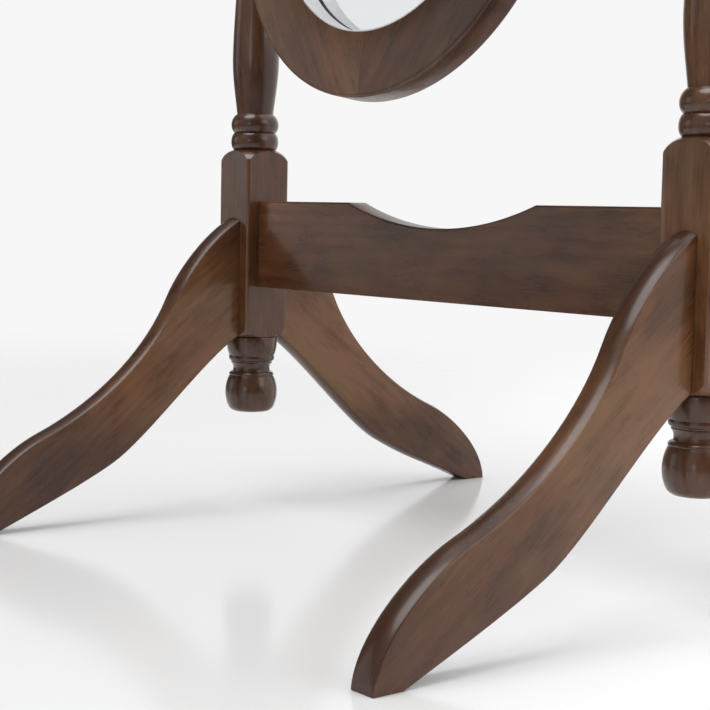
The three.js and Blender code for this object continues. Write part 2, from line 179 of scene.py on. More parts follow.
def close_skin(distance=0.002):
    """Merges points within a distance of each other and turns every face outwards."""
    bpy.ops.mesh.select_all(action="SELECT")
    bpy.ops.mesh.remove_doubles(threshold=distance * MM)
    bpy.ops.mesh.normals_make_consistent(inside=False)


def finish_piece(piece, angle=32):
    """Leaves edit mode with smooth curves and crisp arrises, and says what was made."""
    take(piece)
    bpy.ops.object.shade_smooth_by_angle(angle=math.radians(angle))
    mesh = piece.data
    uses = [0] * len(mesh.edges)
    for loop in mesh.loops:
        uses[loop.edge_index] += 1
    open_edges = sum(1 for count in uses if count != 2)
    print(f"{piece.name}: {len(mesh.polygons)} faces, {open_edges} open edges")
    return piece


def select_edges(piece, chosen):
    """In edit mode, selects the edges whose two end points, in millimetres, are what chosen says."""
    bpy.ops.mesh.select_mode(type="EDGE")
    bpy.ops.mesh.select_all(action="DESELECT")
    bpy.ops.object.mode_set(mode="OBJECT")
    points = [v.co / MM for v in piece.data.vertices]
    for edge in piece.data.edges:
        edge.select = bool(chosen(points[edge.vertices[0]], points[edge.vertices[1]]))
    bpy.ops.object.mode_set(mode="EDIT")


def boolean(piece, tool, operation="DIFFERENCE"):
    """Cuts a piece with a tool body, or keeps what the two share, and throws the tool away."""
    take(piece)
    cut = piece.modifiers.new("cut", "BOOLEAN")
    cut.operation = operation
    cut.solver = "EXACT"
    cut.object = tool
    bpy.ops.object.modifier_apply(modifier=cut.name)
    bpy.data.objects.remove(tool)
    bpy.ops.object.mode_set(mode="EDIT")
    close_skin(0.012)
    bpy.ops.object.mode_set(mode="OBJECT")


def drill(piece, start, along, radius, depth):
    """Bores a round hole in millimetres. Its drill starts a little outside, so that it breaks the surface."""
    along = Vector(along).normalized()
    lead = 1
    centre = (Vector(start) + along * (depth - lead) / 2) * MM
    nothing_selected()
    bpy.ops.mesh.primitive_cylinder_add(
        vertices=32, radius=radius * MM, depth=(depth + lead) * MM, location=centre,
        rotation=along.to_track_quat("Z", "Y").to_euler())
    bpy.ops.object.transform_apply(location=True, rotation=True, scale=True)
    boolean(piece, bpy.context.object)


def copy_piece(piece, name, step=(0, 0, 0), half_turn=None, about=(0, 0, 0), mirrored=False):
    """A second piece with a mesh of its own: moved, given a half turn, or mirrored left to right."""
    take(piece)
    bpy.ops.object.duplicate(linked=False)
    twin = bpy.context.object
    twin.name = twin.data.name = name
    bpy.ops.object.mode_set(mode="EDIT")
    bpy.ops.mesh.select_all(action="SELECT")
    if half_turn:
        bpy.ops.transform.rotate(value=math.pi, orient_axis=half_turn, center_override=about)
    if mirrored:
        bpy.ops.transform.resize(value=(-1, 1, 1), center_override=about)
        bpy.ops.mesh.normals_make_consistent(inside=False)
    bpy.ops.transform.translate(value=step)
    bpy.ops.object.mode_set(mode="OBJECT")
    return twin

# %% [markdown]
# ## Turning on the lathe
# A turned piece is its half profile spun about an axis, exactly as a lathe makes it. The points where the
# profile touches the axis come out many times over, so they are merged into one, and the normals are set
# afterwards.

# %% The lathe helper
LATHE_STEPS = 96


def turn(name, profile, start, along=(0, 0, 1), steps=LATHE_STEPS):
    """Spins a half profile of (radius, distance) about the line from start in the direction of along."""
    along = Vector(along)
    out = Vector((1, 0, 0)) if abs(along.x) < 0.5 else Vector((0, 0, 1))
    places = [(Vector(start) + along * far + out * radius) * MM for radius, far in profile]
    piece = draw_line(name, places)
    bpy.ops.mesh.select_all(action="SELECT")
    bpy.ops.mesh.spin(steps=steps, angle=math.tau, center=Vector(start) * MM, axis=along)
    close_skin()
    return finish_piece(piece)

# %% [markdown]
# ## The posts
# Each post comes from one length of square stock. The turner leaves two square blocks, and where the round
# cutter runs out into the square, its shoulder draws an arch on each face. The same thing happens here: the
# spun profile and a square blank are intersected, so the arches come by themselves. The profile is the same
# seen from either end, so its lower half is drawn and the upper half is its reflection.

# %% The post's profile
POST_MIDDLE = 582
BLOCK_FOOT = 139
UPPER_SHOULDER = 874.5
UPPER_TOP = 945.5
SOCKET = 17


def post_profile():
    """The half profile of a post, from the bottom of its lower block to the top of the upper one."""
    lower = Outline(0, BLOCK_FOOT + SOCKET).line(6.3, BLOCK_FOOT + SOCKET).line(6.3, BLOCK_FOOT)
    lower.line(20.4, BLOCK_FOOT).bend((28, BLOCK_FOOT + 4), (28.8, BLOCK_FOOT + 14.5), 8)
    lower.line(28.8, 275).bend((27.8, 285.5), (18.2, 289.5), 10).line(16.8, 290)
    lower.sweep((19.9, 292.4), (19.9, 301), (16.5, 303.8), 14)
    lower.sweep((20.1, 306.6), (20.5, 314.8), (14.6, 318.8), 14)
    lower.sweep((16.4, 335), (18.8, 347), (18.7, 364), 16)
    lower.sweep((18.6, 400), (12.2, 460), (11.2, 560), 24)
    lower.bend((12.6, 563), (12.4, 566), 4)
    half = lower.bend((17.8, 574), (12.4, POST_MIDDLE), 12).points
    turned = half[half.index((28.8, 275)):]
    upper = [(radius, 2 * POST_MIDDLE - height) for radius, height in reversed(turned[:-1])]
    top = Outline(28.8, UPPER_TOP - 14.5).bend((28, UPPER_TOP - 4), (20.4, UPPER_TOP), 8)
    top.line(6.3, UPPER_TOP).line(6.3, UPPER_TOP - SOCKET).line(0, UPPER_TOP - SOCKET)
    return half + upper + top.points


print("the post's profile has", len(post_profile()), "points")

# %% Turn a post and cut it to its square blank
EASED_CORNER = 2.2


def square_blank(foot, top):
    """A length of square stock whose four long corners are eased with sandpaper."""
    nothing_selected()
    bpy.ops.mesh.primitive_cube_add(size=1, location=(POST_X * MM, 0, (foot + top) / 2 * MM))
    blank = bpy.context.object
    blank.scale = (BLOCK_SIDE * MM, BLOCK_SIDE * MM, (top - foot) * MM)
    bpy.ops.object.transform_apply(location=True, rotation=True, scale=True)
    bpy.ops.object.mode_set(mode="EDIT")
    select_edges(blank, lambda a, b: abs(a.z - b.z) > 1)
    bpy.ops.mesh.bevel(offset=EASED_CORNER * MM, segments=4, profile=0.5, affect="EDGES")
    bpy.ops.object.mode_set(mode="OBJECT")
    return blank


right_post = turn("walnut_post_right", post_profile(), (POST_X, 0, 0))
boolean(right_post, square_blank(BLOCK_FOOT - 5, UPPER_TOP + 5), "INTERSECT")

# %% [markdown]
# The post is bored like the real one, even where nothing shows: dowel holes for the legs and the rail, the
# bolt's hole with its pocket, and the hole that the mirror's pivot passes through. The sockets for the
# finials' spigots are already in the turned profile.

# %% Bore the post
FACE = BLOCK_SIDE / 2
RAIL_BOLT_HEIGHT = 214.5
RAIL_DOWEL_HEIGHTS = (193, 236)
LEG_DOWEL_HEIGHTS = (160, 200)
DOWEL_HOLE_RADIUS = 4.3
BOLT_HOLE_RADIUS, BOLT_HOLE_DEPTH = 3.3, 31
POCKET_RADIUS, POCKET_DEPTH = 7.3, 10
PIVOT_HOLE_RADIUS = 4.6
INWARDS, OUTWARDS = (-1, 0, 0), (1, 0, 0)
drill(right_post, (POST_X - FACE, 0, PIVOT_HEIGHT), OUTWARDS, PIVOT_HOLE_RADIUS, BLOCK_SIDE + 1)
drill(right_post, (POST_X - FACE, 0, RAIL_BOLT_HEIGHT), OUTWARDS, BOLT_HOLE_RADIUS, BOLT_HOLE_DEPTH)
drill(right_post, (POST_X + FACE, 0, RAIL_BOLT_HEIGHT), INWARDS, POCKET_RADIUS, POCKET_DEPTH)
for height in RAIL_DOWEL_HEIGHTS:
    drill(right_post, (POST_X - FACE, 0, height), OUTWARDS, DOWEL_HOLE_RADIUS, 16)
for height in LEG_DOWEL_HEIGHTS:
    for side in (-1, 1):
        drill(right_post, (POST_X, side * FACE, height), (0, -side, 0), DOWEL_HOLE_RADIUS, 14.5)
finish_piece(right_post)
left_post = copy_piece(right_post, "walnut_post_left", mirrored=True)

# %% [markdown]
# ## The finials
# Four small turnings close the ends of the blocks. Each starts with a cup that repeats the block's width,
# draws in to a neck, and swells into a bulb. The lower ones end flat, and the upper ones run on to a soft
# point.

# %% Turn the finials
def finial_profile(top):
    """Radius against distance out of the block, from the end of the glued spigot."""
    line = Outline(0, -16).line(5.4, -16).line(6, -15.2).line(6, 0).line(19.4, 0)
    line.bend((20.3, 0.1), (20.4, 0.9), 3).bend((20.8, 10.5), (18.3, 15.6), 12)
    line.bend((18.9, 17.5), (18.2, 19.3), 5).line(17, 19.9).line(16.6, 20.6).line(16.9, 21.3)
    line.bend((13.9, 25), (15.4, 28.4), 12).bend((17.4, 28.9), (18.2, 30.4), 5)
    line.bend((18.5, 31.4), (17.8, 31.9), 3).sweep((20.6, 36.5), (23.4, 47.5), (18.6, 57.6), 20)
    if not top:
        return line.bend((17.4, 60.1), (14.5, 61.3), 5).line(0, 61.3).points
    return line.sweep((15.2, 62.6), (9, 68.5), (5, 75.5), 14).bend((3, 77.5), (0, 77.5), 5).points


GLUE_LINE = 0.3
drop_right = turn("walnut_drop_right", finial_profile(False), (POST_X, 0, BLOCK_FOOT - GLUE_LINE), (0, 0, -1))
drop_left = copy_piece(drop_right, "walnut_drop_left", (-2 * POST_X * MM, 0, 0))
top_right = turn("walnut_finial_right", finial_profile(True), (POST_X, 0, UPPER_TOP + GLUE_LINE))
top_left = copy_piece(top_right, "walnut_finial_left", (-2 * POST_X * MM, 0, 0))

# %% [markdown]
# ## The legs
# A leg is sawn from a board, and its narrow edges are then rounded with a spokeshave, so that they are
# crowned across their width and meet the flat sides in a crisp arris. A bevel would cut as far into the side
# as into the edge. So the board is extruded in eight thin rows, and a Displace modifier raises the middle
# rows most. The leg is drawn a little too long at the block end, and a bisect trims it flush, as a saw
# would.

# %% Saw and shape one leg
LEG_BUTT = BLOCK_SIDE / 2 + 0.3
TOO_LONG = 6.3
LEG_ROWS = 8
CROWN = 2.6
CROWN_FADES_BELOW = 34


def leg_outline():
    """The side view of a leg as (distance from the post's axis, height)."""
    line = Outline(LEG_BUTT - TOO_LONG, 235.7).line(LEG_BUTT - TOO_LONG, 143.5).line(LEG_BUTT, 140)
    line.sweep((52.2, 122.1), (104.3, 62.7), (135, 45.8), 16)
    line.sweep((160.8, 31.7), (206.7, 12.5), (236, 0), 14).line(256.5, 0)
    line.sweep((255.1, 25.5), (221.4, 56.9), (190.7, 70), 16)
    line.sweep((144.1, 89.9), (98, 127), (77.9, 170.1), 18)
    return line.sweep((67, 193.6), (40.9, 222.1), (LEG_BUTT, 232.5), 12).points


def crown_edges(piece, centre_x, height):
    """Raises the narrow edges of a board most along their middle, and less and less towards the foot."""
    group = piece.vertex_groups.new(name="crown")
    for vertex in piece.data.vertices:
        across = (vertex.co.x / MM - centre_x) / (BOARD / 2)
        fade = min(1, max(0, vertex.co.z / MM / CROWN_FADES_BELOW))
        rise = (1 - across**2) * fade**2 * (3 - 2 * fade)
        group.add([vertex.index], max(0, rise), "REPLACE")
    take(piece)
    shave = piece.modifiers.new("spokeshave", "DISPLACE")
    shave.strength = height * MM
    shave.mid_level = 0
    shave.vertex_group = group.name
    bpy.ops.object.modifier_apply(modifier=shave.name)
    piece.vertex_groups.clear()


leg_side = POST_X - BOARD / 2
leg_places = [Vector((leg_side, -far, height)) * MM for far, height in leg_outline()]
right_front_leg = draw_line("walnut_leg_right_front", leg_places)
fill_and_extrude((BOARD / LEG_ROWS * MM, 0, 0), LEG_ROWS)
close_skin()
bpy.ops.object.mode_set(mode="OBJECT")
crown_edges(right_front_leg, POST_X, CROWN)

# %% Ease the arris and trim the leg
ARRIS = 0.7
bpy.ops.object.mode_set(mode="EDIT")
bpy.ops.mesh.select_mode(type="EDGE")
bpy.ops.mesh.select_all(action="DESELECT")
bpy.ops.mesh.edges_select_sharp(sharpness=math.radians(40))
bpy.ops.mesh.bevel(offset=ARRIS * MM, segments=3, profile=0.5, affect="EDGES")
bpy.ops.mesh.select_all(action="SELECT")
bpy.ops.mesh.bisect(plane_co=(0, -LEG_BUTT * MM, 0), plane_no=(0, 1, 0), clear_outer=True, use_fill=True)
close_skin()
bpy.ops.object.mode_set(mode="OBJECT")
for height in LEG_DOWEL_HEIGHTS:
    drill(right_front_leg, (POST_X, -LEG_BUTT, height), (0, -1, 0), DOWEL_HOLE_RADIUS, 16.2)
finish_piece(right_front_leg)

# %% Copy the leg
across_posts = (-2 * POST_X * MM, 0, 0)
right_rear_leg = copy_piece(
    right_front_leg, "walnut_leg_right_rear", half_turn="Z", about=(POST_X * MM, 0, 0))
left_front_leg = copy_piece(right_front_leg, "walnut_leg_left_front", across_posts)
left_rear_leg = copy_piece(right_rear_leg, "walnut_leg_left_rear", across_posts)

# %% [markdown]
# ## The rail
# One board between the posts, with a shallow round cut-out in its top edge. Its arrises are only lightly
# rounded, so here a bevel is the right tool. Two cross holes at the back take the barrel nuts of the bolts.

# %% Saw the rail
RAIL_END = POST_X - BLOCK_SIDE / 2 - 0.3
RAIL_FOOT, RAIL_TOP = 180.2, 248.8
CUT_OUT_RADIUS, CUT_OUT_HALF = 285, 98
CUT_OUT_STEPS = 40
RAIL_ARRIS = 1.6
NUT_HOLE_RADIUS, NUT_HOLE_DEPTH = 5.3, 15.25
NUT_FROM_POST = 50.3


def rail_outline():
    """The front view of the rail as (left to right, height)."""
    line = Outline(-RAIL_END, RAIL_FOOT).line(RAIL_END, RAIL_FOOT).line(RAIL_END, RAIL_TOP)
    reach = math.asin(CUT_OUT_HALF / CUT_OUT_RADIUS)
    centre = RAIL_TOP + CUT_OUT_RADIUS * math.cos(reach)
    for i in range(CUT_OUT_STEPS + 1):
        angle = reach * (1 - 2 * i / CUT_OUT_STEPS)
        line.line(CUT_OUT_RADIUS * math.sin(angle), centre - CUT_OUT_RADIUS * math.cos(angle))
    return line.line(-RAIL_END, RAIL_TOP).points


rail = draw_line("walnut_rail", [Vector((x, -BOARD / 2, z)) * MM for x, z in rail_outline()])
fill_and_extrude((0, BOARD * MM, 0))
close_skin()
select_edges(rail, lambda a, b: abs(a.y - b.y) < 1 and min(abs(a.x), abs(b.x)) <= RAIL_END - 1)
bpy.ops.mesh.bevel(offset=RAIL_ARRIS * MM, segments=4, profile=0.5, affect="EDGES")
close_skin()
bpy.ops.object.mode_set(mode="OBJECT")
for side in (-1, 1):
    nut = (side * (POST_X - NUT_FROM_POST), BOARD / 2, RAIL_BOLT_HEIGHT)
    drill(rail, nut, (0, -1, 0), NUT_HOLE_RADIUS, NUT_HOLE_DEPTH)
finish_piece(rail)

# %% [markdown]
# ## The bolt covers
# A turned button hides the head of each rail bolt. Its stem sits in the pocket, and its cap is a low dome
# with a small step round the rim.

# %% Turn the bolt covers
button = Outline(0, -5).line(6.4, -5).line(6.9, -4.4).line(6.9, 0.05).line(9.1, 0.05)
button.bend((9.5, 0.1), (9.5, 0.6), 3).bend((9.5, 1.2), (8.9, 1.4), 3).line(8.5, 1.5)
button.bend((5.6, 3.35), (0, 3.4), 10)
cover_start = (POST_X + FACE, 0, RAIL_BOLT_HEIGHT)
cover_right = turn("walnut_bolt_cover_right", button.points, cover_start, (1, 0, 0), 48)
cover_left = copy_piece(cover_right, "walnut_bolt_cover_left", half_turn="Z")

# %% [markdown]
# ## The oval frame
# An oval frame is drawn with four compass arcs: two long ones for the sides and two short ones for the ends.
# The frame's section, with a rebate at the back for the glass, is drawn once at the right place and spun
# along the arcs, so every edge stays parallel. The joiner glues it from six segments. Here two of them are
# spun, and the other four are copies of these, turned or mirrored.

# %% The four arcs of the oval
HALF_WIDTH = 205
END_RADIUS = 158
END_CENTRE = 439
SIDE_RADIUS = (HALF_WIDTH**2 + END_CENTRE**2 - END_RADIUS**2) / (2 * (HALF_WIDTH - END_RADIUS))
SIDE_CENTRE = SIDE_RADIUS - HALF_WIDTH
ARC_JOINT = math.atan2(END_CENTRE, SIDE_CENTRE)
SEGMENT_JOINT_HEIGHT = 317
SEGMENT_JOINT = math.asin(SEGMENT_JOINT_HEIGHT / SIDE_RADIUS)
SEAM = 0.06
print("the sides of the oval are arcs of", round(SIDE_RADIUS), "mm radius")


def section_places(section, centre, radius, angle):
    """Stands a section of (inset, depth) points square to the oval's edge, at an angle of one arc."""
    places = []
    for inset, depth in section:
        reach = radius - inset
        x = centre[0] + reach * math.cos(angle)
        z = PIVOT_HEIGHT + centre[1] + reach * math.sin(angle)
        places.append(Vector((x, depth, z)) * MM)
    return places


def spin_arc(centre, angle, steps):
    """Spins what is selected along one arc of the oval, anticlockwise as seen from the front."""
    place = Vector((centre[0], 0, PIVOT_HEIGHT + centre[1])) * MM
    bpy.ops.mesh.spin(steps=steps, angle=angle, center=place, axis=(0, 1, 0))


def lean_back(piece):
    """Swings a finished piece of the mirror back about the pivots, to the angle that it rests at."""
    take(piece)
    bpy.ops.object.mode_set(mode="EDIT")
    bpy.ops.mesh.select_all(action="SELECT")
    bpy.ops.transform.rotate(value=LEAN, orient_axis="X", center_override=PIVOT)
    bpy.ops.object.mode_set(mode="OBJECT")
    return piece

# %% Spin two segments and copy the other four
frame_section = Outline(2.4, -8).line(43.2, -8).bend((44, -8), (44, -7.2), 3).line(44, 7).line(36, 7)
frame_section.line(36, 12).line(1.4, 12).bend((0, 12), (0, 10.6), 4).line(0, -5.6)
frame_section = frame_section.bend((0, -8), (2.4, -8), 6).points[:-1]
top_centre, right_centre = (0, END_CENTRE), (-SIDE_CENTRE, 0)
short = SEAM / SIDE_RADIUS

places = section_places(frame_section, right_centre, SIDE_RADIUS, short - SEGMENT_JOINT)
frame_right_side = draw_line("walnut_frame_right_side", places)
bpy.ops.mesh.select_all(action="SELECT")
bpy.ops.mesh.edge_face_add()
spin_arc(right_centre, 2 * (SEGMENT_JOINT - short), 48)
close_skin()
finish_piece(frame_right_side)

places = section_places(frame_section, right_centre, SIDE_RADIUS, SEGMENT_JOINT)
frame_top_right = draw_line("walnut_frame_top_right", places)
bpy.ops.mesh.select_all(action="SELECT")
bpy.ops.mesh.edge_face_add()
spin_arc(right_centre, ARC_JOINT - SEGMENT_JOINT, 8)
spin_arc(top_centre, math.pi / 2 - ARC_JOINT - SEAM / END_RADIUS, 56)
close_skin()
finish_piece(frame_top_right)

frame_left_side = copy_piece(frame_right_side, "walnut_frame_left_side", half_turn="Y", about=PIVOT)
frame_bottom_left = copy_piece(frame_top_right, "walnut_frame_bottom_left", half_turn="Y", about=PIVOT)
frame_top_left = copy_piece(frame_top_right, "walnut_frame_top_left", mirrored=True)
frame_bottom_right = copy_piece(frame_bottom_left, "walnut_frame_bottom_right", mirrored=True)
segments = [
    frame_right_side, frame_left_side, frame_top_right, frame_top_left, frame_bottom_right, frame_bottom_left]

# %% Bore the pivots' holes and lean the frame back
INSERT_HOLE_RADIUS, INSERT_HOLE_DEPTH = 6.2, 18
for segment, side in ((frame_right_side, 1), (frame_left_side, -1)):
    edge = (side * HALF_WIDTH, 0, PIVOT_HEIGHT)
    drill(segment, edge, (-side, 0, 0), INSERT_HOLE_RADIUS, INSERT_HOLE_DEPTH)
for segment in segments:
    lean_back(finish_piece(segment))

# %% [markdown]
# ## Liner, gasket and backing
# Between the frame and the glass lie two thin strips: a pale liner that hides the frame's inner wall, and a
# black gasket under the glass. Both are closed ovals, so their section is spun through all four arcs in
# turn. The backing panel is the same oval, but spun from a single point, filled and extruded.

# %% Spin closed ovals
def spin_round_oval(end_steps=40, side_steps=48):
    """Takes what is selected at the top of the oval all the way round, one arc after another."""
    end_half, side_whole = math.pi / 2 - ARC_JOINT, 2 * ARC_JOINT
    spin_arc((0, END_CENTRE), end_half, end_steps)
    spin_arc((SIDE_CENTRE, 0), side_whole, side_steps)
    spin_arc((0, -END_CENTRE), 2 * end_half, 2 * end_steps)
    spin_arc((-SIDE_CENTRE, 0), side_whole, side_steps)
    spin_arc((0, END_CENTRE), end_half, end_steps)


def oval_strip(name, section):
    """A closed oval strip of one section of (inset, depth) points."""
    places = section_places(section + section[:1], (0, END_CENTRE), END_RADIUS, math.pi / 2)
    piece = draw_line(name, places)
    bpy.ops.mesh.select_all(action="SELECT")
    spin_round_oval()
    close_skin(0.02)
    return lean_back(finish_piece(piece))


liner_section = Outline(44.05, -7.4).bend((44.1, -7.75), (44.7, -7.75), 3)
liner_section.bend((45.25, -7.75), (45.3, -7.3), 3).line(45.3, 7).line(44.05, 7)
liner = oval_strip("pale_sight_liner", liner_section.points)
gasket_section = Outline(37.2, 7.15).line(45.2, 7.15).bend((45.4, 8), (45.2, 8.95), 4).line(37.2, 8.95)
gasket = oval_strip("black_glass_gasket", gasket_section.points)

PANEL_INSET, PANEL_FRONT, PANEL_THICKNESS = 24, 12.25, 3.05
rim = section_places([(PANEL_INSET, PANEL_FRONT)], (0, END_CENTRE), END_RADIUS, math.pi / 2)
panel = draw_line("hardboard_backing", rim)
bpy.ops.mesh.select_all(action="SELECT")
spin_round_oval()
close_skin(0.02)
fill_and_extrude((0, PANEL_THICKNESS * MM, 0))
close_skin()
PANEL_BACK = PANEL_FRONT + PANEL_THICKNESS
select_edges(panel, lambda a, b: min(a.y, b.y) > PANEL_BACK - 0.3)
bpy.ops.mesh.bevel(offset=0.5 * MM, segments=2, profile=0.5, affect="EDGES")
close_skin()
lean_back(finish_piece(panel))

# %% [markdown]
# ## The backing's screws
# Ten small pan-head screws hold the panel. One is turned, its cross recess is cut with two thin blades, and
# the others are copies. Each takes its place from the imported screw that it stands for.

# %% Make the screws
SCREW_SEAT = 15.6
RECESS_AT = 1.9
screw_line = Outline(0, -8.9).line(0.4, -8.6).line(1.6, -6.6).line(1.6, 0).line(3.2, 0)
screw_line.bend((3.4, 0.05), (3.4, 0.4), 2).bend((3.3, 1.9), (0, 2.1), 8)
first_screw = turn("backing_screw", screw_line.points, (0, SCREW_SEAT, PIVOT_HEIGHT), (0, 1, 0), 32)
for size in ((0.7, 1.6, 3.2), (3.2, 1.6, 0.7)):
    nothing_selected()
    bpy.ops.mesh.primitive_cube_add(size=1, location=(0, (SCREW_SEAT + RECESS_AT) * MM, PIVOT_HEIGHT * MM))
    blade = bpy.context.object
    blade.scale = Vector(size) * MM
    bpy.ops.object.transform_apply(location=True, rotation=True, scale=True)
    boolean(first_screw, blade)
finish_piece(first_screw)

upright = Matrix.Rotation(LEAN, 4, "X")
screws = {}
for number in range(1, 11):
    node = f"backing_screw_{number}"
    offset = upright @ (middle(node) - PIVOT)
    screw = copy_piece(first_screw, f"steel_{node}", (offset.x, 0, offset.z))
    screws[node] = lean_back(screw)
bpy.data.objects.remove(first_screw)
print(len(screws), "screws")

# %% [markdown]
# ## The pivots
# Outside each post a turned knob, with a steel washer under it, screws a stud through the post into the
# frame. A rubber washer keeps the frame off the post. All are turned about the pivots' line, and the left
# ones are the right ones given half a turn.

# %% Turn the knobs and washers
knob_line = Outline(0, 20).line(4.3, 20).line(4.3, 0).line(11.2, 0).bend((11.9, 0.1), (12, 1.2), 3)
knob_line.bend((8.4, 6), (10.6, 10), 10).sweep((15, 12), (19.4, 14), (19.4, 19.5), 14)
knob_line.sweep((19.4, 26), (13, 31), (0, 31), 18)
washer_line = Outline(4.4, 0).line(9.7, 0).line(10, 0.3).line(10, 1.2)
washer_line.line(9.7, 1.5).line(4.4, 1.5).line(4.4, 0)
spacer_line = Outline(4.3, 0).line(12.2, 0).bend((13, 0), (13, 0.8), 3).line(13, 2.4)
spacer_line.bend((12.3, 3.4), (13, 4.4), 6).line(13, 5.95)
spacer_line.bend((13, 6.75), (12.2, 6.75), 3).line(4.3, 6.75).line(4.3, 0)


def pivot_pair(name, profile, start_x, steps=LATHE_STEPS):
    """One turning on the right pivot and its twin on the left."""
    right = turn(f"{name}_right", profile, (start_x, 0, PIVOT_HEIGHT), (1, 0, 0), steps)
    return copy_piece(right, f"{name}_left", half_turn="Z"), right


knobs = pivot_pair("walnut_knob", knob_line.points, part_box("right_knob")[0].x / MM)
washers = pivot_pair("steel_knob_washer", washer_line.points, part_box("right_knob_washer")[0].x / MM, 64)
spacers = pivot_pair("rubber_spacer", spacer_line.points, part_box("right_pivot_spacer")[0].x / MM, 64)

# %% [markdown]
# ## Mixing finishes
# A finish is a small circuit of shader nodes. Two helpers keep it readable. A Wire is one node's output that
# can be added and multiplied like a number. A Bench puts any node on a material's or a world's tree.

# %% The wire and the bench
class Wire:
    """One output of a node, used in sums as if it were a number."""

    def __init__(self, bench, socket):
        self.bench = bench
        self.socket = socket

    def sum(self, operation, first, second=0.0):
        return self.bench.sum(operation, first, second)

    def __add__(self, other):
        return self.sum("ADD", self, other)

    def __sub__(self, other):
        return self.sum("SUBTRACT", self, other)

    def __rsub__(self, other):
        return self.sum("SUBTRACT", other, self)

    def __mul__(self, other):
        return self.sum("MULTIPLY", self, other)

    def __truediv__(self, other):
        return self.sum("DIVIDE", self, other)

    def __pow__(self, other):
        return self.sum("POWER", self, other)

    __radd__ = __add__
    __rmul__ = __mul__

    def fraction(self):
        return self.sum("FRACT", self)

    def rise(self, low, high, bottom=0.0, top=1.0):
        """0 below low, 1 above high and a soft step between, or from bottom to top."""
        return self.bench.node(
            "ShaderNodeMapRange", {"interpolation_type": "SMOOTHSTEP"},
            {"Value": self, "From Min": low, "From Max": high, "To Min": bottom, "To Max": top})

    def stretched(self, factors):
        """A place multiplied along each axis, which squeezes a pattern there."""
        return self.bench.node("ShaderNodeVectorMath", {"operation": "MULTIPLY"}, {0: self, 1: factors})


class Bench:
    """Adds nodes to one tree. Each call gives back a wire from the node's first output, or the one named."""

    def __init__(self, tree):
        self.tree = tree

    def plug(self, socket, value):
        if isinstance(value, Wire):
            self.tree.links.new(value.socket, socket)
        else:
            socket.default_value = value

    def node(self, kind, settings=None, inputs=None, output=0):
        made = self.tree.nodes.new(kind)
        for name, value in (settings or {}).items():
            if name == "stops":
                self.set_stops(made.color_ramp, value)
            else:
                setattr(made, name, value)
        for key, value in (inputs or {}).items():
            self.plug(made.inputs[key], value)
        return Wire(self, made.outputs[output])

    def set_stops(self, ramp, stops):
        while len(ramp.elements) < len(stops):
            ramp.elements.new(0.5)
        for element, (place, colour) in zip(ramp.elements, stops):
            element.position = place
            element.color = (*colour, 1)

    def sum(self, operation, first, second=0.0):
        return self.node("ShaderNodeMath", {"operation": operation}, {0: first, 1: second})

    def noise(self, place, detail=2.0, roughness=0.5):
        settings = {"noise_dimensions": "3D"}
        return self.node("ShaderNodeTexNoise", settings, {"Vector": place, "Detail": detail,
                                                          "Roughness": roughness, "Scale": 1.0})

    def mix(self, share, first, second, blend="MIX"):
        """Two colours mixed."""
        settings = {"data_type": "RGBA", "blend_type": blend}
        return self.node("ShaderNodeMix", settings, {0: share, 6: first, 7: second}, 2)


def new_finish(name, **sockets):
    """A fresh material, its bench and its surface shader, with the values that are the same all over."""
    material = bpy.data.materials.new(name)
    material.use_nodes = True
    surface = material.node_tree.nodes["Principled BSDF"]
    for socket, value in sockets.items():
        surface.inputs[socket.replace("_", " ")].default_value = value
    return material, Bench(material.node_tree), surface

# %% [markdown]
# ## The walnut stain
# The wood is close-grained and stained dark, under a satin lacquer. Wood has a direction, so each piece gets
# its own copy of the finish with a mapping that lays the pattern's first axis along the grain, and a place
# for the heart of the tree, round which the year rings run. Turned and sawn surfaces then cut through the
# rings and show the right figure by themselves, which a flat picture of wood can't do.
#
# Five patterns are added up to one number, the wood's lightness, and a colour ramp turns it into stain:
# broad clouds, a smaller mottle, streaks along the grain, fine fibres, and the year rings, which a dark
# stain nearly hides. The legs and the posts also get painted shade, from where on the piece a point lies:
# the crowned edges of the legs and the turned columns of the posts are made darker, and the legs are also
# darker towards the foot and the joint, and lighter half way down.

# %% Mix the walnut
STAIN_DEEP = (0.050, 0.0205, 0.0100)
STAIN_MIDDLE = (0.112, 0.0510, 0.0215)
STAIN_LIGHT = (0.205, 0.105, 0.050)
STAIN_RED = (1.05, 0.86, 0.80, 1)
STAIN_OLIVE = (0.99, 0.96, 0.88, 1)
PORE_BROWN = (0.028, 0.013, 0.008, 1)
RING_WIDTH = 0.0085
RING_SWAY = 0.034


def leg_painted_shade(bench, x, height):
    """Painted shade on the crowned edges, and darker at the foot and the joint, lighter on the sides half way
    down.
    """
    off_middle = bench.sum("ABSOLUTE", bench.sum("ABSOLUTE", x) - POST_X * MM)
    side = off_middle.rise(0.0080, 0.0091)
    above_foot = height.rise(0.016, 0.125)
    below_joint = height.rise(0.140, 0.225, 1.0, 0.0)
    # painted shade: the crowned edges are made 0.55 darker than the flat sides
    return side * 0.55 + above_foot * below_joint * 0.62 - 0.88


def post_painted_shade(bench, x, height):
    """Painted shade: darker along the turned column than on the square blocks."""
    above_lower_block = height.rise(0.284, 0.292)
    below_upper_block = height.rise(0.872, 0.880, 1.0, 0.0)
    # painted shade on the turned column
    return above_lower_block * below_upper_block * -0.24


